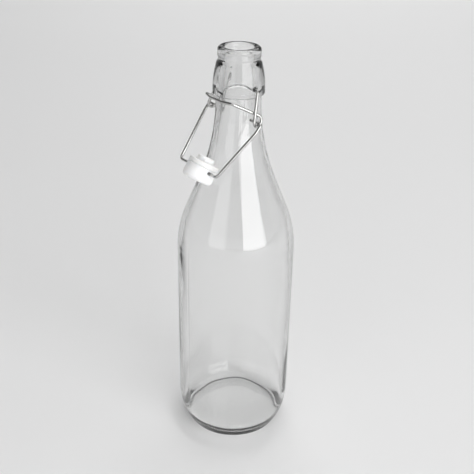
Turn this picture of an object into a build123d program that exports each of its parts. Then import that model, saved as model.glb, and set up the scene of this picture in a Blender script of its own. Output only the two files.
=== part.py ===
"""Swing-top glass bottle of one litre, with its closure open and hanging at the front.

Millimetres. The origin is the centre of the base, where the bottle stands, and +Z runs up the
bottle's axis. The closure turns about lines parallel to X, and its front is towards -Y.
"""

import os
from math import cos, radians, sin

from build123d import *

# Bottle, outside
BOTTLE_HEIGHT = 302.0
BODY_RADIUS = 43.4
BODY_TOP = 153.0
HEEL_HEIGHT = 25.0
FOOT_RADIUS = 36.6
FOOT_EDGE_RADIUS = 1.6
FOOT_INNER_RADIUS = 33.2
FOOT_INNER_EDGE_RADIUS = 0.8
PUNT_HEIGHT = 2.5
SHOULDER_ARC_RADIUS = 80.0
SHOULDER_ANGLE = 22.4
NECK_ARC_RADIUS = 155.0
NECK_RADIUS = 15.6

# Bottle, inside
WALL = 2.6
BORE_RADIUS = 9.65
INNER_FLOOR = 4.6
INNER_FLOOR_CENTRE = 6.0
INNER_HEEL_RADIUS = 9.0

# Collar and lip
COLLAR_RADIUS = 17.9
COLLAR_BOTTOM = 270.6
COLLAR_EDGE_RADIUS = 1.2
COLLAR_UNDERCUT = 0.4
COLLAR_ARC_BOTTOM = 273.0
COLLAR_ARC_RADIUS = 70.0
COLLAR_TOP = 292.0
GROOVE_RADIUS = 14.3
GROOVE_BOTTOM = 293.2
GROOVE_TOP = 295.2
LIP_RADIUS = 14.8
LIP_BOTTOM = 296.0
LIP_EDGE_RADIUS = 2.4
MOUTH_EDGE_RADIUS = 1.8

# Dimples that hold the ends of the lever wire
PIVOT_HEIGHT = 276.5
DIMPLE_DEPTH = 3.6
DIMPLE_RADIUS = 1.3
DIMPLE_MOUTH_RADIUS = 2.9
DIMPLE_FLARE = 1.8

# Wires
WIRE_RADIUS = 1.0

# Lever wire: half widths along X, reaches towards the front and heights
LEVER_END_HALF_WIDTH = 14.8
LEVER_SHOULDER_HALF_WIDTH = 20.4
RING_RADIUS = 3.7
RING_HALF_WIDTH = 25.0
RING_LEAD = 2.3
RING_REACH = 3.4
RING_HEIGHT = 258.0
RING_TURN = 239.0
RING_CORNERS = 5
RING_BEND_RADIUS = 3.33
LEVER_SHOULDER_BEND_RADIUS = 1.8
BAR_HALF_WIDTH = 14.6
BAR_BOW_HALF_WIDTH = 7.0
BAR_CORNER_REACH = 16.3
BAR_REACH = 18.8
BAR_HEIGHT = 268.8
BAR_CORNER_BEND_RADIUS = 2.6
BAR_BOW_RADIUS = 16.0

# Bail wire
HOOK_HEIGHT = 256.5
HOOK_END_HALF_WIDTH = 17.6
HOOK_HALF_WIDTH = 29.0
HOOK_BEND_RADIUS = 2.0
KNEE_HALF_WIDTH = 28.8
KNEE_REACH = 8.0
KNEE_HEIGHT = 251.0
KNEE_BEND_RADIUS = 8.0
BAIL_HALF_WIDTH = 21.0
BAIL_REACH = 33.9
BAIL_HEIGHT = 223.5
BAIL_BEND_RADIUS = 3.0

# Stopper: heights along its own axis are measured from the wire towards the stem
STOPPER_TILT = 33.0
STOPPER_SLIDE = 4.0
STOPPER_OFFSET = 0.4
HEAD_RADIUS = 10.8
HEAD_EDGE_RADIUS = 2.8
HEAD_OUTER_FACE = -8.0
HEAD_INNER_FACE = 2.4
HEAD_INNER_EDGE_RADIUS = 0.5
STEM_RADIUS = 4.6
STEM_LIP_RADIUS = 6.0
STEM_LIP_BOTTOM = 5.8
STEM_TOP = 9.2
STEM_EDGE_RADIUS = 1.2
SLOT_CLEARANCE = 0.1
SLOT_TRAVEL = 3.0
GASKET_RADIUS = 10.6
GASKET_EDGE_RADIUS = 0.7

# How far a cut runs past the surface it opens through
CUT_OVERRUN = 1.0


def front(half_width, reach, height):
    """A point given by its distance along X, its reach towards the front and its height."""
    return Vector(half_width, -reach, height)


def ring_edges(solid, radius, height):
    """The round edges of a turned solid at one radius and height."""
    return [
        edge
        for edge in solid.edges().filter_by(GeomType.CIRCLE)
        if abs(edge.radius - radius) < 0.01 and abs(edge.arc_center.Z - height) < 0.01
    ]


def wire_solid(points, radii):
    """A round wire along straight runs joined by bends of the given radii."""
    path = FilletPolyline(*points, radius=radii)
    section = Plane(path @ 0, z_dir=path % 0) * Circle(WIRE_RADIUS)
    return sweep(section, path=path)


def mirrored(points):
    """The same points on the other side of the bottle, in reverse order."""
    return [Vector(-point.X, point.Y, point.Z) for point in reversed(points)]


def outer_shoulder():
    """Points of the tangent shoulder arc, straight run and neck arc, outside."""
    angle = radians(SHOULDER_ANGLE)
    arc_centre = BODY_RADIUS - SHOULDER_ARC_RADIUS
    shoulder_end = (
        arc_centre + SHOULDER_ARC_RADIUS * cos(angle),
        BODY_TOP + SHOULDER_ARC_RADIUS * sin(angle),
    )
    neck_start_radius = NECK_RADIUS + NECK_ARC_RADIUS * (1 - cos(angle))
    run = (shoulder_end[0] - neck_start_radius) / sin(angle)
    neck_start = (neck_start_radius, shoulder_end[1] + run * cos(angle))
    neck_end = (NECK_RADIUS, neck_start[1] + NECK_ARC_RADIUS * sin(angle))
    return shoulder_end, neck_start, neck_end


def bottle_blank():
    """The bottle's outside as a solid without its cavity."""
    shoulder_end, neck_start, neck_end = outer_shoulder()
    collar_neck_radius = COLLAR_RADIUS - COLLAR_ARC_RADIUS + (
        COLLAR_ARC_RADIUS**2 - (COLLAR_TOP - COLLAR_ARC_BOTTOM) ** 2
    ) ** 0.5
    with BuildPart() as blank:
        with BuildSketch(Plane.XZ):
            with BuildLine():
                Line((0, PUNT_HEIGHT), (0, BOTTLE_HEIGHT))
                Line((0, BOTTLE_HEIGHT), (LIP_RADIUS, BOTTLE_HEIGHT))
                Line((LIP_RADIUS, BOTTLE_HEIGHT), (LIP_RADIUS, LIP_BOTTOM))
                Polyline(
                    (LIP_RADIUS, LIP_BOTTOM),
                    (GROOVE_RADIUS, GROOVE_TOP),
                    (GROOVE_RADIUS, GROOVE_BOTTOM),
                    (collar_neck_radius, COLLAR_TOP),
                )
                TangentArc(
                    (COLLAR_RADIUS, COLLAR_ARC_BOTTOM),
                    (collar_neck_radius, COLLAR_TOP),
                    tangent=(0, 1),
                )
                Polyline(
                    (COLLAR_RADIUS, COLLAR_ARC_BOTTOM),
                    (COLLAR_RADIUS, COLLAR_BOTTOM),
                    (NECK_RADIUS, COLLAR_BOTTOM - COLLAR_UNDERCUT),
                    neck_end,
                )
                TangentArc(neck_end, neck_start, tangent=(0, -1))
                Line(neck_start, shoulder_end)
                TangentArc((BODY_RADIUS, BODY_TOP), shoulder_end, tangent=(0, 1))
                Line((BODY_RADIUS, BODY_TOP), (BODY_RADIUS, HEEL_HEIGHT))
                TangentArc((BODY_RADIUS, HEEL_HEIGHT), (FOOT_RADIUS, 0), tangent=(0, -1))
                Line((FOOT_RADIUS, 0), (FOOT_INNER_RADIUS, 0))
                TangentArc((0, PUNT_HEIGHT), (FOOT_INNER_RADIUS, 0), tangent=(1, 0))
            make_face()
        revolve(axis=Axis.Z)
    solid = blank.part.solids()[0]
    solid = fillet(ring_edges(solid, FOOT_RADIUS, 0), FOOT_EDGE_RADIUS)
    solid = fillet(ring_edges(solid, FOOT_INNER_RADIUS, 0), FOOT_INNER_EDGE_RADIUS)
    solid = fillet(ring_edges(solid, LIP_RADIUS, BOTTLE_HEIGHT), LIP_EDGE_RADIUS)
    solid = fillet(ring_edges(solid, COLLAR_RADIUS, COLLAR_BOTTOM), COLLAR_EDGE_RADIUS)
    return solid


def cavity():
    """The space inside the bottle, from its floor to the mouth."""
    shoulder_end, neck_start, _ = outer_shoulder()
    angle = radians(SHOULDER_ANGLE)
    inset = (WALL * cos(angle), WALL * sin(angle))
    inner_shoulder_end = (shoulder_end[0] - inset[0], shoulder_end[1] - inset[1])
    inner_neck_start = (neck_start[0] - inset[0], neck_start[1] - inset[1])
    neck_curve_radius = (inner_neck_start[0] - BORE_RADIUS) / (1 - cos(angle))
    bore_bottom = inner_neck_start[1] + neck_curve_radius * sin(angle)
    inner_radius = BODY_RADIUS - WALL
    heel_top = (inner_radius, INNER_FLOOR + INNER_HEEL_RADIUS)
    heel_bottom = (inner_radius - INNER_HEEL_RADIUS, INNER_FLOOR)
    with BuildPart() as space:
        with BuildSketch(Plane.XZ):
            with BuildLine():
                Line((0, INNER_FLOOR_CENTRE), (0, BOTTLE_HEIGHT))
                Line((0, BOTTLE_HEIGHT), (BORE_RADIUS, BOTTLE_HEIGHT))
                Line((BORE_RADIUS, BOTTLE_HEIGHT), (BORE_RADIUS, bore_bottom))
                TangentArc((BORE_RADIUS, bore_bottom), inner_neck_start, tangent=(0, -1))
                Line(inner_neck_start, inner_shoulder_end)
                TangentArc((inner_radius, BODY_TOP), inner_shoulder_end, tangent=(0, 1))
                Line((inner_radius, BODY_TOP), heel_top)
                TangentArc(heel_top, heel_bottom, tangent=(0, -1))
                TangentArc((0, INNER_FLOOR_CENTRE), heel_bottom, tangent=(1, 0))
            make_face()
        revolve(axis=Axis.Z)
    return space.part.solids()[0]


def dimple():
    """The flared blind hole on the +X side of the collar."""
    with BuildPart() as hole:
        with BuildSketch(Plane.XZ):
            with BuildLine():
                Polyline(
                    (COLLAR_RADIUS - DIMPLE_DEPTH, 0),
                    (COLLAR_RADIUS - DIMPLE_DEPTH, DIMPLE_RADIUS),
                    (COLLAR_RADIUS - DIMPLE_FLARE, DIMPLE_RADIUS),
                    (COLLAR_RADIUS, DIMPLE_MOUTH_RADIUS),
                    (COLLAR_RADIUS + CUT_OVERRUN, DIMPLE_MOUTH_RADIUS),
                    (COLLAR_RADIUS + CUT_OVERRUN, 0),
                    close=True,
                )
            make_face()
        revolve(axis=Axis.X)
    return Pos(0, 0, PIVOT_HEIGHT) * hole.part


def make_bottle():
    """Clear glass bottle with its punt, shoulder, collar, lip and two dimples."""
    glass = bottle_blank() - cavity() - dimple() - mirror(dimple(), about=Plane.YZ)
    return fillet(ring_edges(glass, BORE_RADIUS, BOTTLE_HEIGHT), MOUTH_EDGE_RADIUS)


def make_lever_wire():
    """One wire from dimple to dimple: a ring on each side, and a bowed bar across the front."""
    step = RING_TURN / RING_CORNERS
    corner_radius = RING_RADIUS / cos(radians(step / 2))
    half = [
        front(LEVER_END_HALF_WIDTH, 0, PIVOT_HEIGHT),
        front(LEVER_SHOULDER_HALF_WIDTH, 0, PIVOT_HEIGHT),
    ]
    for corner in range(RING_CORNERS):
        turn = step * (corner + 0.5)
        half.append(
            front(
                RING_HALF_WIDTH + RING_LEAD * (0.5 - (corner + 0.5) / RING_CORNERS),
                RING_REACH + corner_radius * cos(radians(turn)),
                RING_HEIGHT - corner_radius * sin(radians(turn)),
            )
        )
    half.append(front(BAR_HALF_WIDTH, BAR_CORNER_REACH, BAR_HEIGHT))
    half.append(front(BAR_BOW_HALF_WIDTH, BAR_REACH, BAR_HEIGHT))
    half_radii = [
        LEVER_SHOULDER_BEND_RADIUS,
        *[RING_BEND_RADIUS] * RING_CORNERS,
        BAR_CORNER_BEND_RADIUS,
        BAR_BOW_RADIUS,
    ]
    return wire_solid(half + mirrored(half), half_radii + half_radii[::-1])


def make_bail_wire():
    """One wire from hook to hook, with its middle run through the stopper."""
    half = [
        front(HOOK_END_HALF_WIDTH, RING_REACH, HOOK_HEIGHT),
        front(HOOK_HALF_WIDTH, RING_REACH, HOOK_HEIGHT),
        front(KNEE_HALF_WIDTH, KNEE_REACH, KNEE_HEIGHT),
        front(BAIL_HALF_WIDTH, BAIL_REACH, BAIL_HEIGHT),
    ]
    half_radii = [HOOK_BEND_RADIUS, KNEE_BEND_RADIUS, BAIL_BEND_RADIUS]
    return wire_solid(half + mirrored(half), half_radii + half_radii[::-1])


def stopper_plane():
    """The stopper's own frame: its z runs up the stem and its y towards the bottle."""
    tilt = radians(STOPPER_TILT)
    towards_bottle = Vector(0, cos(tilt), -sin(tilt))
    centre = front(STOPPER_SLIDE, BAIL_REACH, BAIL_HEIGHT) - towards_bottle * STOPPER_OFFSET
    return Plane(centre, x_dir=(1, 0, 0), z_dir=(0, sin(tilt), cos(tilt)))


def turned(*outline):
    """A solid turned about Z from an outline of radius and height pairs."""
    face = make_face(Plane.XZ * Polyline(*outline, close=True))
    return revolve(face, axis=Axis.Z).solids()[0]


def make_stopper():
    """White plastic head with a stem that keeps the gasket on, and a slot for the wire."""
    head = turned(
        (0, HEAD_OUTER_FACE),
        (HEAD_RADIUS, HEAD_OUTER_FACE),
        (HEAD_RADIUS, HEAD_INNER_FACE),
        (STEM_RADIUS, HEAD_INNER_FACE),
        (STEM_RADIUS, STEM_LIP_BOTTOM),
        (STEM_LIP_RADIUS, STEM_LIP_BOTTOM),
        (STEM_LIP_RADIUS, STEM_TOP),
        (0, STEM_TOP),
    )
    head = fillet(ring_edges(head, HEAD_RADIUS, HEAD_OUTER_FACE), HEAD_EDGE_RADIUS)
    head = fillet(ring_edges(head, HEAD_RADIUS, HEAD_INNER_FACE), HEAD_INNER_EDGE_RADIUS)
    head = fillet(ring_edges(head, STEM_LIP_RADIUS, STEM_TOP), STEM_EDGE_RADIUS)
    slot_radius = WIRE_RADIUS + SLOT_CLEARANCE
    slot = Plane.YZ * SlotCenterToCenter(SLOT_TRAVEL, 2 * slot_radius)
    head -= extrude(slot, amount=HEAD_RADIUS + CUT_OVERRUN, both=True)
    return stopper_plane() * head


def make_gasket():
    """Soft ring held on the stem between the head and the stem's lip."""
    ring = turned(
        (STEM_RADIUS, HEAD_INNER_FACE),
        (GASKET_RADIUS, HEAD_INNER_FACE),
        (GASKET_RADIUS, STEM_LIP_BOTTOM),
        (STEM_RADIUS, STEM_LIP_BOTTOM),
    )
    for height in (HEAD_INNER_FACE, STEM_LIP_BOTTOM):
        ring = fillet(ring_edges(ring, GASKET_RADIUS, height), GASKET_EDGE_RADIUS)
    return stopper_plane() * ring


os.makedirs("parts", exist_ok=True)
PARTS = {
    "bottle": make_bottle(),
    "lever_wire": make_lever_wire(),
    "bail_wire": make_bail_wire(),
    "stopper": make_stopper(),
    "gasket": make_gasket(),
}
for name, part in PARTS.items():
    export_step(part, f"parts/{name}.step")
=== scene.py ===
from math import ceil, cos, degrees, pi, radians, sin, tan

import bmesh
import bpy
from mathutils import Matrix, Vector


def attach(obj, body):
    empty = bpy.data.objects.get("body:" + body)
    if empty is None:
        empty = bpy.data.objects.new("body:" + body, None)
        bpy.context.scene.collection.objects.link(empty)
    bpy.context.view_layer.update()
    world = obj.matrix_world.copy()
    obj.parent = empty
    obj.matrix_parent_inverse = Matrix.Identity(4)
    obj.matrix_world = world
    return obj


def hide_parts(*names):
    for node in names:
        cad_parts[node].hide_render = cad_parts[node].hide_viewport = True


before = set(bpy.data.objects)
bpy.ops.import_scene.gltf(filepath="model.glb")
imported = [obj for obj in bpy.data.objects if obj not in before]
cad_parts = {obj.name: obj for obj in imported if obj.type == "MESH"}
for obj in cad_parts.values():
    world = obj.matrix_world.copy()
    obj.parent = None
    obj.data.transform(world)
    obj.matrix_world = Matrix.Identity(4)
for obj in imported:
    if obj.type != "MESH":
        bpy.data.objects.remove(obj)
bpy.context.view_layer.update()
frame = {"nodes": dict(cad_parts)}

MM = 0.001

# Bottle, outside: radii and heights in millimetres
BOTTLE_HEIGHT = 302.0
BODY_RADIUS = 43.4
HEEL_HEIGHT = 25.0
FOOT_RADIUS = 36.6
FOOT_EDGE_BEND = 1.6
FOOT_INNER_RADIUS = 33.2
PUNT_HEIGHT = 2.5
SHOULDER_CORNER = 168.84
SHOULDER_BEND = 80.0
NECK_RADIUS = 15.6
NECK_CORNER = 236.29
NECK_BEND = 155.0
COLLAR_RADIUS = 17.9
COLLAR_BOTTOM = 270.6
COLLAR_EDGE_BEND = 1.2
COLLAR_UNDERCUT = 0.4
COLLAR_ARC_BOTTOM = 273.0
COLLAR_TOP_RADIUS = 15.27
COLLAR_TOP = 292.0
GROOVE_RADIUS = 14.3
GROOVE_BOTTOM = 293.2
GROOVE_TOP = 295.2
LIP_RADIUS = 14.8
LIP_BOTTOM = 296.0
LIP_EDGE_BEND = 2.4

# Bottle, inside
INNER_RADIUS = 40.8
INNER_SHOULDER_CORNER = 168.33
INNER_SHOULDER_BEND = 77.4
INNER_NECK_CORNER = 243.9
INNER_NECK_BEND = 202.0
BORE_RADIUS = 9.65
MOUTH_EDGE_BEND = 1.8
INNER_FLOOR = 4.6
INNER_FLOOR_CENTRE = 6.0
INNER_HEEL_BEND = 9.0

# Slight waves of the inner wall, which fade out below the mouth: their depth, and for each wave its
# strength, how often it goes around, its twist in radians per millimetre of height, and its start
INNER_WAVE = 0.16
INNER_WAVE_FADE = 60.0
INNER_WAVES = ((1.0, 2, 0.021, 0.0), (0.6, 5, -0.034, 1.1), (0.4, 9, 0.05, 2.3))

# Dimples, mould seam and the stippled foot
PIVOT_HEIGHT = 276.5
DIMPLE_DEPTH = 3.6
DIMPLE_RADIUS = 1.3
DIMPLE_MOUTH_RADIUS = 2.9
DIMPLE_FLARE = 1.8
SEAM_HEIGHT = 0.1
SEAM_BOTTOM = 2.0
STIPPLES = 96
STIPPLE_DEPTH = 0.4
STIPPLE_RADII = (33.7, 34.2, 34.7)

# Painted shade on the glass of the foot: the heights and radii between which it fades, and the radii of its
# ring of dots of painted shade
FOOT_SHADE_TOP = (2.6, 3.2)
FOOT_SHADE_RADIUS = (35.0, 35.3)
DOT_SHADE_RING_RADIUS = (32.5, 33.5)

# Wires: half widths along X, reaches towards the front, and heights
WIRE_RADIUS = 1.0
WIRE_END_BEVEL = 0.25
LEVER_END = 14.8
LEVER_SHOULDER = 20.4
LEVER_SHOULDER_BEND = 1.8
RING_RADIUS = 3.7
RING_HALF_WIDTH = 25.0
RING_LEAD = 2.3
RING_REACH = 3.4
RING_HEIGHT = 258.0
RING_TURN = 239.0
RING_CORNERS = 5
RING_BEND = 3.33
BAR_CORNER = (14.6, 16.3, 268.8)
BAR_CORNER_BEND = 2.6
BAR_BOW = (7, 18.8, 268.8)
BAR_BOW_BEND = 16
BAIL_PIVOT_HEIGHT = 256.5
BAIL_END = 17.6
BAIL_HOOK = 29.0
BAIL_HOOK_BEND = 2
BAIL_KNEE = (28.8, 8.0, 251.0)
BAIL_KNEE_BEND = 8
BAIL_CORNER = (21.0, 33.9, 223.5)
BAIL_CORNER_BEND = 3

# Fineness of the meshes
TURN_STEPS = 384
LONGEST_STEP = 2.6
BEND_STEP = 5.0
WIRE_SIDES = 28
DIMPLE_STEPS = 48
SHARP_EDGE = 40.0

# Thick glass: the colour of its tint, and the tint's density per metre
GLASS_DEPTH_COLOUR = (0.13, 0.14, 0.135, 1)
GLASS_DEPTH_DENSITY = 14.0

# Studio: the floor in millimetres, and how bright the room is at its horizon and above the haze
FLOOR_HALF_SIDE = 3200.0
HORIZON_GLOW = 0.55
ROOM_GLOW = 0.09
HAZE_TOP = 0.3

# Camera, in metres and degrees, with its lens in millimetres
CAMERA_TURN = 38.1
CAMERA_DISTANCE = 0.5127
CAMERA_HEIGHT = 0.4305
CAMERA_DOWN = 27.85
CAMERA_ROLL = 1.17
CAMERA_YAW = 0.095
CAMERA_LENS = 59.24


# ---- Lines and outlines

def bend_points(start, heading, side, radius, turn):
    """Points after start on an arc that leaves start along heading and bends towards side."""
    steps = max(3, ceil(degrees(turn) / BEND_STEP))
    angles = [turn * step / steps for step in range(1, steps + 1)]
    return [start + radius * (sin(angle) * heading + (1 - cos(angle)) * side) for angle in angles]


def arc(start, end, heading):
    """Points after start on the arc that leaves start along heading and ends at end."""
    chord = end - start
    half_turn = heading.angle(chord)
    side = (chord.normalized() - cos(half_turn) * heading) / sin(half_turn)
    return bend_points(start, heading, side, chord.length / (2 * sin(half_turn)), 2 * half_turn)


def rounded(corners):
    """A line through pairs of corner and bend radius, with an arc at each corner that has a radius."""
    points = [corners[0][0]]
    for (before, _), (place, bend), (after, _) in zip(corners, corners[1:], corners[2:]):
        inward = (place - before).normalized()
        outward = (after - place).normalized()
        turn = inward.angle(outward)
        if bend:
            side = (outward - cos(turn) * inward) / sin(turn)
            start = place - bend * tan(turn / 2) * inward
            points += [start] + bend_points(start, inward, side, bend, turn)
        else:
            points.append(place)
    return points + [corners[-1][0]]


def spaced(points, longest):
    """The same line, with points added where its steps are longer than longest."""
    result = [points[0]]
    for before, after in zip(points, points[1:]):
        pieces = max(1, ceil((after - before).length / longest))
        result += [before.lerp(after, piece / pieces) for piece in range(1, pieces + 1)]
    return result


def sharp(*points):
    """Corners that stay sharp."""
    return [(Vector(point), 0) for point in points]


def outside_outline():
    """The glass in section from the middle of the punt up to the mouth's edge, as corners and bends."""
    up = Vector((0, 1))
    punt = arc(Vector((0, PUNT_HEIGHT)), Vector((FOOT_INNER_RADIUS, 0)), Vector((1, 0)))
    heel = arc(Vector((BODY_RADIUS, HEEL_HEIGHT)), Vector((FOOT_RADIUS, 0)), -up)
    collar = arc(
        Vector((COLLAR_RADIUS, COLLAR_ARC_BOTTOM)), Vector((COLLAR_TOP_RADIUS, COLLAR_TOP)), up
    )
    return [
        *sharp((0, PUNT_HEIGHT), *punt),
        *sharp(*[(radius, 0) for radius in STIPPLE_RADII]),
        (Vector((FOOT_RADIUS, 0)), FOOT_EDGE_BEND),
        *sharp(*heel[-2::-1], (BODY_RADIUS, HEEL_HEIGHT)),
        (Vector((BODY_RADIUS, SHOULDER_CORNER)), SHOULDER_BEND),
        (Vector((NECK_RADIUS, NECK_CORNER)), NECK_BEND),
        *sharp((NECK_RADIUS, COLLAR_BOTTOM - COLLAR_UNDERCUT)),
        (Vector((COLLAR_RADIUS, COLLAR_BOTTOM)), COLLAR_EDGE_BEND),
        *sharp((COLLAR_RADIUS, COLLAR_ARC_BOTTOM), *collar),
        *sharp((GROOVE_RADIUS, GROOVE_BOTTOM), (GROOVE_RADIUS, GROOVE_TOP)),
        *sharp((LIP_RADIUS, LIP_BOTTOM)),
        (Vector((LIP_RADIUS, BOTTLE_HEIGHT)), LIP_EDGE_BEND),
    ]


def inside_outline():
    """The glass in section from the mouth's edge down to the middle of the floor inside."""
    heel_end = Vector((INNER_RADIUS - INNER_HEEL_BEND, INNER_FLOOR))
    floor_middle = Vector((0, INNER_FLOOR_CENTRE))
    floor = arc(floor_middle, heel_end, Vector((1, 0)))
    return [
        (Vector((BORE_RADIUS, BOTTLE_HEIGHT)), MOUTH_EDGE_BEND),
        (Vector((BORE_RADIUS, INNER_NECK_CORNER)), INNER_NECK_BEND),
        (Vector((INNER_RADIUS, INNER_SHOULDER_CORNER)), INNER_SHOULDER_BEND),
        (Vector((INNER_RADIUS, INNER_FLOOR)), INNER_HEEL_BEND),
        *sharp(*floor[::-1], floor_middle),
    ]


# ---- Meshes

def made(name, vertices, faces, finish):
    """A smooth shaded object from vertices in millimetres, with its steep edges sharp."""
    mesh = bpy.data.meshes.new(name)
    mesh.from_pydata([vertex * MM for vertex in vertices], [], faces)
    work = bmesh.new()
    work.from_mesh(mesh)
    bmesh.ops.recalc_face_normals(work, faces=work.faces)
    work.to_mesh(mesh)
    work.free()
    mesh.shade_smooth()
    mesh.set_sharp_from_angle(angle=radians(SHARP_EDGE))
    mesh.materials.append(finish)
    piece = bpy.data.objects.new(name, mesh)
    bpy.context.scene.collection.objects.link(piece)
    return piece


def turned(outline, steps, shape=None):
    """Vertices and faces of a surface turned about Z, from an outline that starts and ends on the axis.

    shape moves a point of the outline at one step of the turn.
    """
    rings = outline[1:-1]
    vertices = [Vector((0, 0, outline[0].y)), Vector((0, 0, outline[-1].y))]
    for index, point in enumerate(rings):
        for step in range(steps):
            angle = 2 * pi * step / steps
            radius, height = shape(index, point, step, angle) if shape else point
            vertices.append(Vector((radius * cos(angle), radius * sin(angle), height)))
    faces = []
    last = 2 + (len(rings) - 1) * steps
    for step in range(steps):
        following = (step + 1) % steps
        faces.append((0, 2 + following, 2 + step))
        faces.append((1, last + step, last + following))
        for ring in range(len(rings) - 1):
            low = 2 + ring * steps
            high = low + steps
            faces.append((low + step, low + following, high + following, high + step))
    return vertices, faces


def cut(piece, *cutters):
    """Takes the cutters' shapes out of a piece, and removes them."""
    for cutter in cutters:
        modifier = piece.modifiers.new("cut", "BOOLEAN")
        modifier.operation = "DIFFERENCE"
        modifier.solver = "EXACT"
        modifier.object = cutter
    shown = piece.evaluated_get(bpy.context.evaluated_depsgraph_get())
    mesh = bpy.data.meshes.new_from_object(shown)
    piece.modifiers.clear()
    piece.data = mesh
    mesh.shade_smooth()
    mesh.set_sharp_from_angle(angle=radians(SHARP_EDGE))
    for cutter in cutters:
        bpy.data.objects.remove(cutter)
    return piece


def tube(name, points, finish):
    """A round wire along points, with bevelled ends and a coordinate that follows the drawing marks."""
    bevel = WIRE_END_BEVEL
    heading = (points[1] - points[0]).normalized()
    leaving = (points[-1] - points[-2]).normalized()
    stations = [(points[0], WIRE_RADIUS - bevel), (points[0] + bevel * heading, WIRE_RADIUS)]
    stations += [(point, WIRE_RADIUS) for point in points[1:-1]]
    stations += [(points[-1] - bevel * leaving, WIRE_RADIUS), (points[-1], WIRE_RADIUS - bevel)]
    places = [place for place, _ in stations]
    vertices, drawn, run = [], [], 0.0
    across = heading.orthogonal().normalized()
    for index, (place, radius) in enumerate(stations):
        before, after = places[max(index - 1, 0)], places[min(index + 1, len(places) - 1)]
        along = (after - before).normalized()
        across = (across - across.dot(along) * along).normalized()
        upright = along.cross(across)
        run += (place - before).length
        for side in range(WIRE_SIDES):
            angle = 2 * pi * side / WIRE_SIDES
            vertices.append(place + radius * (cos(angle) * across + sin(angle) * upright))
            drawn.append((cos(angle), sin(angle), run))
    faces = [tuple(range(WIRE_SIDES))]
    faces.append(tuple(range(len(vertices) - WIRE_SIDES, len(vertices))))
    for ring in range(len(stations) - 1):
        for side in range(WIRE_SIDES):
            following = (side + 1) % WIRE_SIDES
            low, high = ring * WIRE_SIDES, (ring + 1) * WIRE_SIDES
            faces.append((low + side, low + following, high + following, high + side))
    piece = made(name, vertices, faces, finish)
    marks = piece.data.attributes.new("drawn", "FLOAT_VECTOR", "POINT")
    for mark, value in zip(marks.data, drawn):
        mark.vector = value
    return piece


# ---- Materials

def material(name):
    """A new node material with its Principled shader and a function that adds nodes."""
    made_material = bpy.data.materials.new(name)
    made_material.use_nodes = True
    tree = made_material.node_tree
    shader = tree.nodes["Principled BSDF"]

    def add(kind, inputs=(), **settings):
        node = tree.nodes.new(kind)
        for key, value in settings.items():
            setattr(node, key, value)
        for key, value in dict(inputs).items():
            if isinstance(value, bpy.types.NodeSocket):
                tree.links.new(value, node.inputs[key])
            else:
                node.inputs[key].default_value = value
        return node

    def feed(key, value):
        tree.links.new(value, shader.inputs[key])

    return made_material, shader, add, feed


def ramp(add, value, low, high, start=0.3, end=0.7):
    """A value that goes from low to high as the given value goes from start to end."""
    ends = {"From Min": start, "From Max": end, "To Min": low, "To Max": high}
    return add("ShaderNodeMapRange", {"Value": value, **ends}).outputs["Result"]


def blend_colours(add, share, low, high):
    """A colour between low and high, which are colours or the outputs of nodes."""
    return add("ShaderNodeMix", {0: share, 6: low, 7: high}, data_type="RGBA").outputs[2]


def metres(lengths):
    """Lengths in metres, from millimetres."""
    return [length * MM for length in lengths]


def foot_shade_shares(add, where):
    """Where the glass of the foot gets painted shade, and where the dots of the stippled ring get painted
    shade, from 0 to 1.
    """

    def times(first, second):
        return add("ShaderNodeMath", {0: first, 1: second}, operation="MULTIPLY").outputs["Value"]

    place = add("ShaderNodeSeparateXYZ", {"Vector": where}).outputs
    flat = add("ShaderNodeCombineXYZ", {"X": place["X"], "Y": place["Y"]})
    length = add("ShaderNodeVectorMath", {0: flat.outputs["Vector"]}, operation="LENGTH")
    radius = length.outputs["Value"]
    low = ramp(add, place["Z"], 1.0, 0.0, *metres(FOOT_SHADE_TOP))
    within = ramp(add, radius, 1.0, 0.0, *metres(FOOT_SHADE_RADIUS))
    foot = times(low, within)
    ring = ramp(add, radius, 0.0, 1.0, *metres(DOT_SHADE_RING_RADIUS))
    angle = add("ShaderNodeMath", {0: place["Y"], 1: place["X"]}, operation="ARCTAN2")
    turns = times(angle.outputs["Value"], STIPPLES)
    dots = add("ShaderNodeMath", {0: turns}, operation="COSINE").outputs["Value"]
    return foot, times(times(foot, ring), ramp(add, dots, 0.3, 1.0, -0.5, 0.5))


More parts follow.
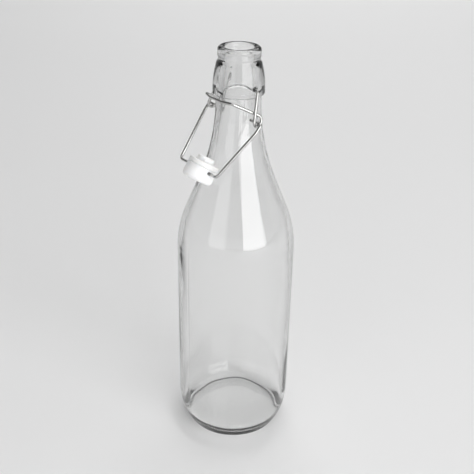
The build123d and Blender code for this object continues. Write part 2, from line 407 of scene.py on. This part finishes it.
def glass_material():
    """Clear soda-lime glass with faint waves, a slight bloom of handling marks, painted shade at its grazing
    edges, and painted shade on its foot and on the dots of its stippled ring.
    """
    made_material, shader, add, feed = material("clear_glass")
    shader.inputs["Transmission Weight"].default_value = 1
    shader.inputs["IOR"].default_value = 1.52
    where = add("ShaderNodeTexCoord").outputs["Object"]
    cloud = add("ShaderNodeTexNoise", {"Vector": where, "Scale": 38, "Detail": 3}).outputs["Fac"]
    feed("Roughness", ramp(add, cloud, 0.0, 0.02, 0.45, 0.75))

    # Painted shade: the foot is greyed, and the dots of its stippled ring are painted near black
    foot, painted_dot_shade = foot_shade_shares(add, where)
    clear = blend_colours(add, cloud, (0.985, 0.986, 0.985, 1), (0.997, 0.998, 0.997, 1))
    # Painted shade: the glass is darkened towards its grazing edges
    facing = add("ShaderNodeLayerWeight", {"Blend": 0.5}).outputs["Facing"]
    edge = ramp(add, facing, 0.0, 1.0, 0.64, 0.97)
    painted_edge_shade = blend_colours(add, edge, clear, (0.18, 0.185, 0.182, 1))
    painted_foot_shade = blend_colours(add, foot, painted_edge_shade, (0.70, 0.702, 0.701, 1))
    feed("Base Color", blend_colours(add, painted_dot_shade, painted_foot_shade, (0.02, 0.02, 0.02, 1)))

    stretched = add("ShaderNodeMapping", {"Vector": where, "Scale": (60, 60, 16)})
    wave = add("ShaderNodeTexNoise", {"Vector": stretched.outputs["Vector"], "Scale": 1, "Detail": 2})
    bump = add("ShaderNodeBump", {"Height": wave.outputs["Fac"], "Strength": 0.12, "Distance": 0.0004})
    feed("Normal", bump.outputs["Normal"])
    depth = add(
        "ShaderNodeVolumeAbsorption", {"Color": GLASS_DEPTH_COLOUR, "Density": GLASS_DEPTH_DENSITY}
    )
    output = shader.outputs["BSDF"].links[0].to_node
    made_material.node_tree.links.new(depth.outputs["Volume"], output.inputs["Volume"])
    return made_material


def steel_material(name):
    """Bright drawn wire, with fine marks along it and faint tarnish."""
    made_material, shader, add, feed = material(name)
    shader.inputs["Metallic"].default_value = 1
    drawn = add("ShaderNodeAttribute", attribute_name="drawn").outputs["Vector"]
    stretched = add("ShaderNodeMapping", {"Vector": drawn, "Scale": (9, 9, 0.22)})
    lines = add("ShaderNodeTexNoise", {"Vector": stretched.outputs["Vector"], "Scale": 1, "Detail": 4})
    where = add("ShaderNodeTexCoord").outputs["Object"]
    stain = add("ShaderNodeTexNoise", {"Vector": where, "Scale": 210, "Detail": 4})
    dull, bright = (0.40, 0.395, 0.39, 1), (0.62, 0.62, 0.61, 1)
    feed("Base Color", blend_colours(add, stain.outputs["Fac"], dull, bright))
    feed("Roughness", ramp(add, lines.outputs["Fac"], 0.10, 0.24))
    bump = add("ShaderNodeBump", {"Height": lines.outputs["Fac"], "Strength": 0.25, "Distance": 0.00004})
    feed("Normal", bump.outputs["Normal"])
    return made_material


def plastic_material():
    """White moulded plastic with a fine satin grain, slightly translucent."""
    made_material, shader, add, feed = material("stopper_plastic")
    shader.inputs["Subsurface Weight"].default_value = 0.7
    shader.inputs["Subsurface Radius"].default_value = (0.006, 0.0056, 0.0052)
    shader.inputs["Subsurface Scale"].default_value = 1
    where = add("ShaderNodeTexCoord").outputs["Object"]
    cloud = add("ShaderNodeTexNoise", {"Vector": where, "Scale": 120, "Detail": 4})
    grain = add("ShaderNodeTexNoise", {"Vector": where, "Scale": 2600, "Detail": 2})
    shade, white = (0.92, 0.92, 0.91, 1), (0.96, 0.96, 0.955, 1)
    feed("Base Color", blend_colours(add, cloud.outputs["Fac"], shade, white))
    feed("Roughness", ramp(add, cloud.outputs["Fac"], 0.34, 0.48))
    bump = add("ShaderNodeBump", {"Height": grain.outputs["Fac"], "Strength": 0.3, "Distance": 0.00004})
    feed("Normal", bump.outputs["Normal"])
    return made_material


def rubber_material():
    """Pale silicone rubber, matt, with a little dust in its grain."""
    made_material, shader, add, feed = material("gasket_rubber")
    shader.inputs["Subsurface Weight"].default_value = 0.25
    shader.inputs["Subsurface Radius"].default_value = (0.002, 0.0018, 0.0016)
    shader.inputs["Subsurface Scale"].default_value = 1
    where = add("ShaderNodeTexCoord").outputs["Object"]
    cloud = add("ShaderNodeTexNoise", {"Vector": where, "Scale": 300, "Detail": 5})
    dusty, clean = (0.80, 0.80, 0.785, 1), (0.89, 0.89, 0.88, 1)
    feed("Base Color", blend_colours(add, cloud.outputs["Fac"], dusty, clean))
    feed("Roughness", ramp(add, cloud.outputs["Fac"], 0.5, 0.7))
    bump = add("ShaderNodeBump", {"Height": cloud.outputs["Fac"], "Strength": 0.25, "Distance": 0.0001})
    feed("Normal", bump.outputs["Normal"])
    return made_material


# ---- Pieces

def bottle(glass):
    """The glass bottle, with its mould seam, dimples and stippled foot."""
    corners = outside_outline() + inside_outline()
    outline = spaced(rounded(corners), LONGEST_STEP)
    # The highest point, and among points of one height the one nearest the axis
    mouth = max(range(len(outline)), key=lambda index: outline[index].y - 0.01 * outline[index].x)
    seams = (TURN_STEPS // 4, 3 * TURN_STEPS // 4)

    def shape(index, point, step, angle):
        radius, height = point
        outside = index + 1 < mouth
        if outside and step in seams and height > SEAM_BOTTOM:
            radius += SEAM_HEIGHT
        if not outside and height > INNER_FLOOR + INNER_HEEL_BEND:
            fade = min(1, (BOTTLE_HEIGHT - height) / INNER_WAVE_FADE)
            wave = 0.0
            for strength, count, twist, start in INNER_WAVES:
                wave += strength * sin(count * angle + twist * height + start)
            radius += INNER_WAVE * fade * wave
        if height < 0.01 and STIPPLE_RADII[0] - 0.1 < radius < STIPPLE_RADII[-1] + 0.1:
            height = STIPPLE_DEPTH * (0.5 - 0.5 * cos(STIPPLES * angle))
        return radius, height

    piece = made("bottle_glass", *turned(outline, TURN_STEPS, shape), glass)
    return cut(piece, dimple(1), dimple(-1))


def dimple(side):
    """A cutter for the flared blind hole on one side of the collar."""
    bottom = COLLAR_RADIUS - DIMPLE_DEPTH
    flare_start = Vector((DIMPLE_RADIUS, COLLAR_RADIUS - DIMPLE_FLARE))
    flare = arc(flare_start, Vector((DIMPLE_MOUTH_RADIUS, COLLAR_RADIUS)), Vector((0, 1)))
    corners = sharp((0, bottom))
    corners += [(Vector((DIMPLE_RADIUS, bottom)), DIMPLE_RADIUS / 2)]
    corners += sharp(flare_start, *flare, (DIMPLE_MOUTH_RADIUS + 0.2, COLLAR_RADIUS + 1))
    corners += sharp((0, COLLAR_RADIUS + 1))
    vertices, faces = turned(rounded(corners), DIMPLE_STEPS)
    turn = Matrix.Rotation(side * pi / 2, 4, "Y")
    lift = Vector((0, 0, PIVOT_HEIGHT))
    return made("dimple", [turn @ vertex + lift for vertex in vertices], faces, None)


def front(half_width, reach, height):
    """A point given by its distance along X, its reach towards the front and its height."""
    return Vector((half_width, -reach, height))


def mirrored(half):
    """Corners of the whole wire from those of its +X half, which start at its +X end."""
    return half + [(Vector((-place.x, place.y, place.z)), bend) for place, bend in reversed(half)]


def lever_wire(steel):
    """The lever: an end in each dimple, a ring on each side, and a bowed bar across the front."""
    step = RING_TURN / RING_CORNERS
    corner_radius = RING_RADIUS / cos(radians(step / 2))
    shoulder = front(LEVER_SHOULDER, 0, PIVOT_HEIGHT)
    half = [(front(LEVER_END, 0, PIVOT_HEIGHT), 0), (shoulder, LEVER_SHOULDER_BEND)]
    for corner in range(RING_CORNERS):
        turn = radians(step * (corner + 0.5))
        lead = RING_LEAD * (0.5 - (corner + 0.5) / RING_CORNERS)
        reach = RING_REACH + corner_radius * cos(turn)
        height = RING_HEIGHT - corner_radius * sin(turn)
        half.append((front(RING_HALF_WIDTH + lead, reach, height), RING_BEND))
    half += [(front(*BAR_CORNER), BAR_CORNER_BEND), (front(*BAR_BOW), BAR_BOW_BEND)]
    return tube("lever_steel_wire", spaced(rounded(mirrored(half)), LONGEST_STEP), steel)


def bail_wire(steel):
    """The bail: a hook through each ring, and a middle run through the stopper."""
    half = [
        (front(BAIL_END, RING_REACH, BAIL_PIVOT_HEIGHT), 0),
        (front(BAIL_HOOK, RING_REACH, BAIL_PIVOT_HEIGHT), BAIL_HOOK_BEND),
        (front(*BAIL_KNEE), BAIL_KNEE_BEND),
        (front(*BAIL_CORNER), BAIL_CORNER_BEND),
    ]
    return tube("bail_steel_wire", spaced(rounded(mirrored(half)), LONGEST_STEP), steel)


def build_pieces():
    """Makes every piece, sets it on the body it rides on and hides the CAD node it stands for."""
    nodes = frame["nodes"]
    for make, finish, node, body, slot in (
        (bottle, glass_material(), "bottle", "bottle", "clear_glass"),
        (lever_wire, steel_material("lever_steel"), "lever_wire", "lever", "lever_steel"),
        (bail_wire, steel_material("bail_steel"), "bail_wire", "bail", "bail_steel"),
    ):
        piece = make(finish)
        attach(piece, body)
        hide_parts(node)
    for node, finish in (("stopper", plastic_material()), ("gasket", rubber_material())):
        nodes[node].data.materials.clear()
        nodes[node].data.materials.append(finish)


# ---- Studio

def sideways(right, away, height):
    """A point of the studio, by metres to the camera's right and away from it, from the bottle's axis."""
    turn = radians(CAMERA_TURN)
    right_way = Vector((sin(turn), cos(turn), 0))
    away_way = Vector((-cos(turn), sin(turn), 0))
    return right * right_way + away * away_way + Vector((0, 0, height))


def build_camera():
    """The camera at the photograph's place, tilt, roll and field of view."""
    turn, down = radians(CAMERA_TURN), radians(CAMERA_DOWN)
    yaw, roll = radians(CAMERA_YAW), radians(CAMERA_ROLL)
    away = sideways(0, 1, 0)
    right = sideways(1, 0, 0)
    ahead = cos(yaw) * away + sin(yaw) * right
    level = cos(yaw) * right - sin(yaw) * away
    looking = cos(down) * ahead - sin(down) * Vector((0, 0, 1))
    upright = level.cross(looking)
    camera_x = cos(roll) * level + sin(roll) * upright
    camera_y = cos(roll) * upright - sin(roll) * level
    data = bpy.data.cameras.new("camera")
    data.lens = CAMERA_LENS
    data.sensor_width = 36
    camera = bpy.data.objects.new("camera", data)
    bpy.context.scene.collection.objects.link(camera)
    turn_matrix = Matrix((camera_x, camera_y, -looking)).transposed()
    place = Matrix.Translation(sideways(0, -CAMERA_DISTANCE, CAMERA_HEIGHT))
    camera.matrix_world = place @ turn_matrix.to_4x4()
    bpy.context.scene.camera = camera


def soft_light(name, bearing, distance, low, high, spread, radiance):
    """An upright soft light panel that faces the bottle's axis, in metres and degrees.

    bearing is its direction from the bottle, to the right of the camera's, and spread is the angle it fills.
    """
    width = 2 * distance * tan(radians(spread / 2))
    data = bpy.data.lights.new(name, "AREA")
    data.shape = "RECTANGLE"
    data.size, data.size_y = width, high - low
    data.energy = radiance * pi * width * (high - low)
    light = bpy.data.objects.new(name, data)
    turn = radians(bearing)
    light.location = sideways(distance * sin(turn), -distance * cos(turn), (low + high) / 2)
    facing = Vector((0, 0, light.location.z)) - light.location
    light.rotation_euler = facing.to_track_quat("-Z", "Y").to_euler()
    bpy.context.scene.collection.objects.link(light)


def ceiling_light(name, right, away, height, side, radiance):
    """A square soft light that faces straight down."""
    data = bpy.data.lights.new(name, "AREA")
    data.shape = "SQUARE"
    data.size = side
    data.energy = radiance * pi * side**2
    light = bpy.data.objects.new(name, data)
    light.location = sideways(right, away, height)
    bpy.context.scene.collection.objects.link(light)


def build_floor():
    """A pale floor, wide enough to fill the view."""
    made_material, shader, add, feed = material("studio_floor")
    where = add("ShaderNodeTexCoord").outputs["Object"]
    cloud = add("ShaderNodeTexNoise", {"Vector": where, "Scale": 1.2, "Detail": 1})
    darker, paler = (0.80, 0.80, 0.80, 1), (0.82, 0.82, 0.82, 1)
    feed("Base Color", blend_colours(add, cloud.outputs["Fac"], darker, paler))
    shader.inputs["Roughness"].default_value = 0.9
    shader.inputs["Specular IOR Level"].default_value = 0.2
    sides = ((-1, -1), (1, -1), (1, 1), (-1, 1))
    corners = [Vector((x * FLOOR_HALF_SIDE, y * FLOOR_HALF_SIDE, 0)) for x, y in sides]
    made("studio_floor", corners, [(0, 1, 2, 3)], made_material)


def build_room():
    """Dim surroundings that are paler at the horizon."""
    world = bpy.data.worlds.new("studio")
    world.use_nodes = True
    nodes, links = world.node_tree.nodes, world.node_tree.links
    place = nodes.new("ShaderNodeSeparateXYZ")
    links.new(nodes.new("ShaderNodeTexCoord").outputs["Generated"], place.inputs["Vector"])
    haze = nodes.new("ShaderNodeMapRange")
    haze.interpolation_type = "SMOOTHSTEP"
    links.new(place.outputs["Z"], haze.inputs["Value"])
    edges = {"From Min": 0.0, "From Max": HAZE_TOP, "To Min": HORIZON_GLOW, "To Max": ROOM_GLOW}
    for key, value in edges.items():
        haze.inputs[key].default_value = value
    background = nodes["Background"]
    background.inputs["Color"].default_value = (0.99, 0.995, 1, 1)
    links.new(haze.outputs["Result"], background.inputs["Strength"])
    bpy.context.scene.world = world


def build_studio():
    """The room, a tall soft light on each side of the camera and two overhead."""
    bpy.context.scene.view_settings.view_transform = "Standard"
    # Glass stays sharp after a diffuse bounce, so that light reaches the floor through the bottle
    bpy.context.scene.cycles.blur_glossy = 0
    build_room()
    soft_light("key", bearing=37.5, distance=1.6, low=0.03, high=1.9, spread=47, radiance=3.6)
    soft_light("fill", bearing=-36.5, distance=1.6, low=0.03, high=1.5, spread=37, radiance=1.1)
    ceiling_light("overhead", right=0.5, away=0.0, height=2.3, side=2.0, radiance=1.55)
    ceiling_light("background", right=0.3, away=3.2, height=2.4, side=3.4, radiance=2.15)


build_camera()
build_pieces()
build_floor()
build_studio()
